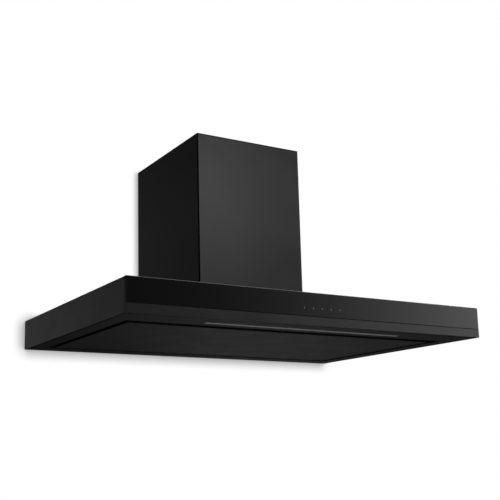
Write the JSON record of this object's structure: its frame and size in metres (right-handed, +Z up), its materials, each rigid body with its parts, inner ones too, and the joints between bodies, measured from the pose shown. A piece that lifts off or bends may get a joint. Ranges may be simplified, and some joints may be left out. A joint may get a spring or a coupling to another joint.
{
  "type": "chimney range hood",
  "caption": "Wall-mounted box-canopy chimney hood with black glass front, perimeter suction panel, light bar and telescopic chimney.",
  "frame": {"origin": "on the wall plane at the middle of the canopy's underside", "axes": "+X to the right seen from the front, +Y into the wall (the front faces -Y), +Z up"},
  "size_m": [0.9, 0.6, 0.493],
  "materials": {
    "black_steel": "satin black powder coat",
    "black_glass": "polished, back-painted black",
    "satin_trim": "fine satin black",
    "touch_print": "grey translucent marks",
    "foam_tape": "closed-cell foam",
    "circuit_board": "green solder mask",
    "white_plastic": "moulded",
    "grey_plastic": "moulded",
    "black_plastic": "moulded, fine texture",
    "frosted_plastic": "frosted, unlit",
    "spring_steel": "bright",
    "zinc_screws": "zinc plated",
    "galvanised_steel": "galvanised sheet",
    "aluminium": "mill finish",
    "filter_aluminium": "expanded metal mesh",
    "motor_aluminium": "die cast",
    "cable_sleeve": "braided sleeve",
    "rubber": "soft"
  },
  "bodies": {
    "root": {"canopy_shell": "black_steel", "underside_frame": "black_steel", "lower_chimney": "black_steel", "front_glass": "black_glass", "lower_trim": "satin_trim", "touch_marks": "touch_print", "bonding_tape": "foam_tape", "touch_board": "circuit_board", "light_board": "circuit_board", "board_spacers": "white_plastic", "touch_electrodes": "spring_steel", "light_diffuser": "frosted_plastic", "light_profile": "aluminium", "light_driver": "white_plastic", "control_box": "grey_plastic", "capacitor": "white_plastic", "capacitor_clip": "spring_steel", "wiring_loom": "cable_sleeve", "cable_gland": "black_plastic", "suction_tray": "galvanised_steel", "filter_rail": "galvanised_steel", "catch_rail": "galvanised_steel", "hinge_brackets": "galvanised_steel", "hinge_pins": "spring_steel", "panel_magnets": "black_plastic", "blower_housing_left": "black_plastic", "blower_housing_right": "black_plastic", "housing_screws": "zinc_screws", "canopy_screws": "zinc_screws", "inlet_ring_left": "grey_plastic", "inlet_ring_right": "grey_plastic", "motor": "motor_aluminium", "motor_bracket": "galvanised_steel", "motor_grommets": "rubber", "blower_base": "galvanised_steel", "blower_cradles": "galvanised_steel", "duct_collar": "black_plastic", "flap_rod": "spring_steel", "hanging_brackets": "galvanised_steel", "chimney_angles": "galvanised_steel", "filter_meshes": "filter_aluminium", "filter_frame_left": "aluminium", "latch_spring_left": "spring_steel", "filter_frame_middle": "aluminium", "latch_spring_middle": "spring_steel", "filter_frame_right": "aluminium", "latch_spring_right": "spring_steel"},
    "panel": {"perimeter_panel": "black_steel", "panel_stiffeners": "galvanised_steel", "panel_lugs": "galvanised_steel", "panel_strikes": "spring_steel"},
    "telescopic_chimney": {"upper_chimney": "black_steel", "ceiling_bracket": "galvanised_steel"},
    "impeller": {"impeller": "grey_plastic", "motor_shaft": "spring_steel"},
    "flap_front": {"flap_front": "grey_plastic"},
    "flap_rear": {"flap_rear": "grey_plastic"},
    "latch_left": {"filter_latch_left": "black_plastic"},
    "latch_middle": {"filter_latch_middle": "black_plastic"},
    "latch_right": {"filter_latch_right": "black_plastic"}
  },
  "joints": [
    {"name": "panel_hinge", "type": "hinge", "parent": "root", "child": "panel", "pos_m": [0, -0.072, 0.014], "axis": [1, 0, 0], "range_deg": [0, 90]},
    {"name": "chimney_slide", "type": "slide", "parent": "root", "child": "telescopic_chimney", "axis": [0, 0, 1], "range_m": [0, 0.29]},
    {"name": "impeller_spin", "type": "hinge", "parent": "root", "child": "impeller", "pos_m": [0, -0.14, 0.204], "axis": [1, 0, 0], "continuous": true},
    {"name": "flap_front_hinge", "type": "hinge", "parent": "root", "child": "flap_front", "pos_m": [0, -0.19, 0.4], "axis": [-1, 0, 0], "range_deg": [0, 80]},
    {"name": "flap_rear_hinge", "type": "hinge", "parent": "root", "child": "flap_rear", "pos_m": [0, -0.19, 0.4], "axis": [1, 0, 0], "range_deg": [0, 80]},
    {"name": "latch_left_slide", "type": "slide", "parent": "root", "child": "latch_left", "axis": [0, 1, 0], "range_m": [0, 0.0065], "stiffness_N_per_m": 600, "springref_m": -0.004, "deforming": ["latch_spring_left"]},
    {"name": "latch_middle_slide", "type": "slide", "parent": "root", "child": "latch_middle", "axis": [0, 1, 0], "range_m": [0, 0.0065], "stiffness_N_per_m": 600, "springref_m": -0.004, "deforming": ["latch_spring_middle"]},
    {"name": "latch_right_slide", "type": "slide", "parent": "root", "child": "latch_right", "axis": [0, 1, 0], "range_m": [0, 0.0065], "stiffness_N_per_m": 600, "springref_m": -0.004, "deforming": ["latch_spring_right"]}
  ]
}
